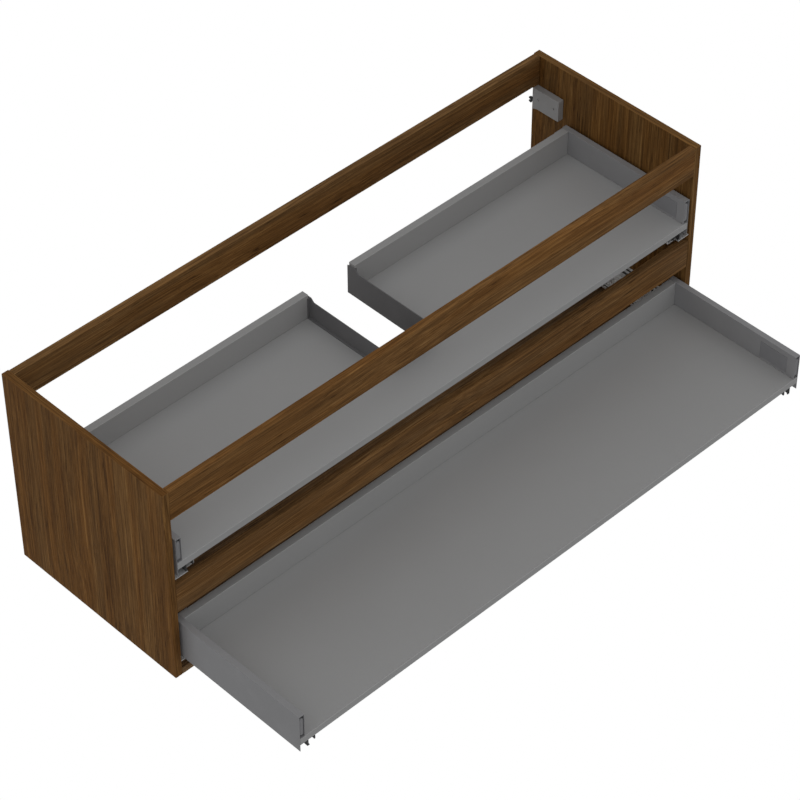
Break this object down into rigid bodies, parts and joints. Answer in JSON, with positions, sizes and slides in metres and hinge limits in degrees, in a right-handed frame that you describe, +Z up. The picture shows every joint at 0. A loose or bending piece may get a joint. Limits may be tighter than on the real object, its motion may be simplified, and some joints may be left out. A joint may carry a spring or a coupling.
{
  "type": "bathroom vanity cabinet",
  "caption": "Wall-hung bathroom vanity carcass in walnut decor with metal-sided full-extension drawers, an open top for a basin and a cut-out for the waste trap.",
  "frame": {"origin": "on the wall plane, on the cabinet's centre line, level with its underside", "axes": "+X to the right as seen from the front, +Y towards the wall, +Z up"},
  "size_m": [1.4, 0.7526, 0.469],
  "materials": {
    "walnut_decor": "walnut veneer decor on 16 mm board, satin",
    "grey_board": "grey melamine on 16 mm board, fine matt grain",
    "grey_metal": "grey powder coat",
    "bracket_metal": "grey coated steel",
    "dark_sheet": "dark grey powder coat",
    "cap_plastic": "dark grey moulded plastic",
    "zinc_steel": "zinc-plated sheet steel",
    "black_plastic": "black moulded plastic",
    "grey_plastic": "grey moulded plastic",
    "black_steel": "black coated steel"
  },
  "bodies": {
    "cabinet": {"side_panel_left": "walnut_decor", "side_panel_right": "walnut_decor", "bottom_panel": "walnut_decor", "front_top_rail": "walnut_decor", "front_mid_rail": "walnut_decor", "back_top_rail": "walnut_decor", "hanger_housing_left": "grey_plastic", "hanger_housing_right": "grey_plastic", "runner_cabinet_upper_left": "zinc_steel", "runner_cabinet_upper_right": "zinc_steel", "runner_cabinet_lower_left": "zinc_steel", "runner_cabinet_lower_right": "zinc_steel", "runner_damper_upper_left": "black_plastic", "runner_damper_upper_right": "black_plastic", "runner_damper_lower_left": "black_plastic", "runner_damper_lower_right": "black_plastic"},
    "upper_drawer": {"drawer_floor_upper": "grey_board", "drawer_back_upper_left": "grey_board", "drawer_back_upper_right": "grey_board", "trap_surround_left": "dark_sheet", "trap_surround_right": "dark_sheet", "trap_surround_front": "dark_sheet", "drawer_side_upper_left": "grey_metal", "front_bracket_upper_left": "bracket_metal", "cover_cap_upper_left": "cap_plastic", "back_bracket_upper_left": "grey_metal", "runner_drawer_upper_left": "zinc_steel", "drawer_side_upper_right": "grey_metal", "front_bracket_upper_right": "bracket_metal", "cover_cap_upper_right": "cap_plastic", "back_bracket_upper_right": "grey_metal", "runner_drawer_upper_right": "zinc_steel"},
    "lower_drawer": {"drawer_floor_lower": "grey_board", "drawer_back_lower": "grey_board", "drawer_side_lower_left": "grey_metal", "front_bracket_lower_left": "bracket_metal", "cover_cap_lower_left": "cap_plastic", "back_bracket_lower_left": "grey_metal", "runner_drawer_lower_left": "zinc_steel", "drawer_side_lower_right": "grey_metal", "front_bracket_lower_right": "bracket_metal", "cover_cap_lower_right": "cap_plastic", "back_bracket_lower_right": "grey_metal", "runner_drawer_lower_right": "zinc_steel"},
    "runner_middle_upper_left": {"runner_middle_upper_left": "zinc_steel"},
    "catch_upper_left": {"drawer_catch_upper_left": "black_plastic"},
    "runner_middle_upper_right": {"runner_middle_upper_right": "zinc_steel"},
    "catch_upper_right": {"drawer_catch_upper_right": "black_plastic"},
    "runner_middle_lower_left": {"runner_middle_lower_left": "zinc_steel"},
    "catch_lower_left": {"drawer_catch_lower_left": "black_plastic"},
    "runner_middle_lower_right": {"runner_middle_lower_right": "zinc_steel"},
    "catch_lower_right": {"drawer_catch_lower_right": "black_plastic"},
    "hanger_carriage_left": {"hanger_carriage_left": "zinc_steel"},
    "hanger_hook_left": {"hanger_hook_left": "black_steel"},
    "height_screw_left": {"hanger_height_screw_left": "zinc_steel"},
    "depth_screw_left": {"hanger_depth_screw_left": "zinc_steel"},
    "hanger_carriage_right": {"hanger_carriage_right": "zinc_steel"},
    "hanger_hook_right": {"hanger_hook_right": "black_steel"},
    "height_screw_right": {"hanger_height_screw_right": "zinc_steel"},
    "depth_screw_right": {"hanger_depth_screw_right": "zinc_steel"}
  },
  "joints": [
    {"name": "upper_drawer_slide", "type": "slide", "parent": "cabinet", "child": "upper_drawer", "axis": [0, -1, 0], "range_m": [0, 0.35]},
    {"name": "lower_drawer_slide", "type": "slide", "parent": "cabinet", "child": "lower_drawer", "axis": [0, -1, 0], "range_m": [-0.3116, 0.0384]},
    {"name": "runner_middle_slide_upper_left", "type": "slide", "parent": "cabinet", "child": "runner_middle_upper_left", "axis": [0, -1, 0], "range_m": [0, 0.175]},
    {"name": "runner_middle_slide_upper_right", "type": "slide", "parent": "cabinet", "child": "runner_middle_upper_right", "axis": [0, -1, 0], "range_m": [0, 0.175]},
    {"name": "runner_middle_slide_lower_left", "type": "slide", "parent": "cabinet", "child": "runner_middle_lower_left", "axis": [0, -1, 0], "range_m": [-0.1558, 0.0192]},
    {"name": "runner_middle_slide_lower_right", "type": "slide", "parent": "cabinet", "child": "runner_middle_lower_right", "axis": [0, -1, 0], "range_m": [-0.1558, 0.0192]},
    {"name": "catch_hinge_upper_left", "type": "hinge", "parent": "upper_drawer", "child": "catch_upper_left", "pos_m": [-0.648, -0.419, 0.266], "axis": [-1, 0, 0], "range_deg": [0, 6], "stiffness_Nm_per_rad": 0.3, "springref_deg": -2.86},
    {"name": "catch_hinge_upper_right", "type": "hinge", "parent": "upper_drawer", "child": "catch_upper_right", "pos_m": [0.648, -0.419, 0.266], "axis": [-1, 0, 0], "range_deg": [0, 6], "stiffness_Nm_per_rad": 0.3, "springref_deg": -2.86},
    {"name": "catch_hinge_lower_left", "type": "hinge", "parent": "lower_drawer", "child": "catch_lower_left", "pos_m": [-0.648, -0.7306, 0.0507], "axis": [-1, 0, 0], "range_deg": [0, 6], "stiffness_Nm_per_rad": 0.3, "springref_deg": -2.86},
    {"name": "catch_hinge_lower_right", "type": "hinge", "parent": "lower_drawer", "child": "catch_lower_right", "pos_m": [0.648, -0.7306, 0.0507], "axis": [-1, 0, 0], "range_deg": [0, 6], "stiffness_Nm_per_rad": 0.3, "springref_deg": -2.86},
    {"name": "hanger_depth_slide_left", "type": "slide", "parent": "cabinet", "child": "hanger_carriage_left", "axis": [0, -1, 0], "range_m": [0, 0.007]},
    {"name": "hanger_height_slide_left", "type": "slide", "parent": "hanger_carriage_left", "child": "hanger_hook_left", "axis": [0, 0, 1], "range_m": [-0.0065, 0.0065]},
    {"name": "height_screw_turn_left", "type": "hinge", "parent": "hanger_carriage_left", "child": "height_screw_left", "pos_m": [-0.6731, -0.031, 0.3735], "axis": [1, 0, 0], "range_deg": [-790, 790]},
    {"name": "depth_screw_turn_left", "type": "hinge", "parent": "cabinet", "child": "depth_screw_left", "pos_m": [-0.6731, -0.0744, 0.3735], "axis": [1, 0, 0], "range_deg": [0, 850]},
    {"name": "hanger_depth_slide_right", "type": "slide", "parent": "cabinet", "child": "hanger_carriage_right", "axis": [0, -1, 0], "range_m": [0, 0.007]},
    {"name": "hanger_height_slide_right", "type": "slide", "parent": "hanger_carriage_right", "child": "hanger_hook_right", "axis": [0, 0, 1], "range_m": [-0.0065, 0.0065]},
    {"name": "height_screw_turn_right", "type": "hinge", "parent": "hanger_carriage_right", "child": "height_screw_right", "pos_m": [0.6731, -0.031, 0.3735], "axis": [1, 0, 0], "range_deg": [-790, 790]},
    {"name": "depth_screw_turn_right", "type": "hinge", "parent": "cabinet", "child": "depth_screw_right", "pos_m": [0.6731, -0.0744, 0.3735], "axis": [1, 0, 0], "range_deg": [0, 850]}
  ],
  "couplings": [
    {"joint": "runner_middle_slide_upper_left", "follows": "upper_drawer_slide", "ratio": 0.5},
    {"joint": "runner_middle_slide_upper_right", "follows": "upper_drawer_slide", "ratio": 0.5},
    {"joint": "runner_middle_slide_lower_left", "follows": "lower_drawer_slide", "ratio": 0.5},
    {"joint": "runner_middle_slide_lower_right", "follows": "lower_drawer_slide", "ratio": 0.5},
    {"joint": "height_screw_turn_left", "follows": "hanger_height_slide_left", "rad_per_m": 2094.4},
    {"joint": "depth_screw_turn_left", "follows": "hanger_depth_slide_left", "rad_per_m": 2094.4},
    {"joint": "height_screw_turn_right", "follows": "hanger_height_slide_right", "rad_per_m": 2094.4},
    {"joint": "depth_screw_turn_right", "follows": "hanger_depth_slide_right", "rad_per_m": 2094.4}
  ]
}
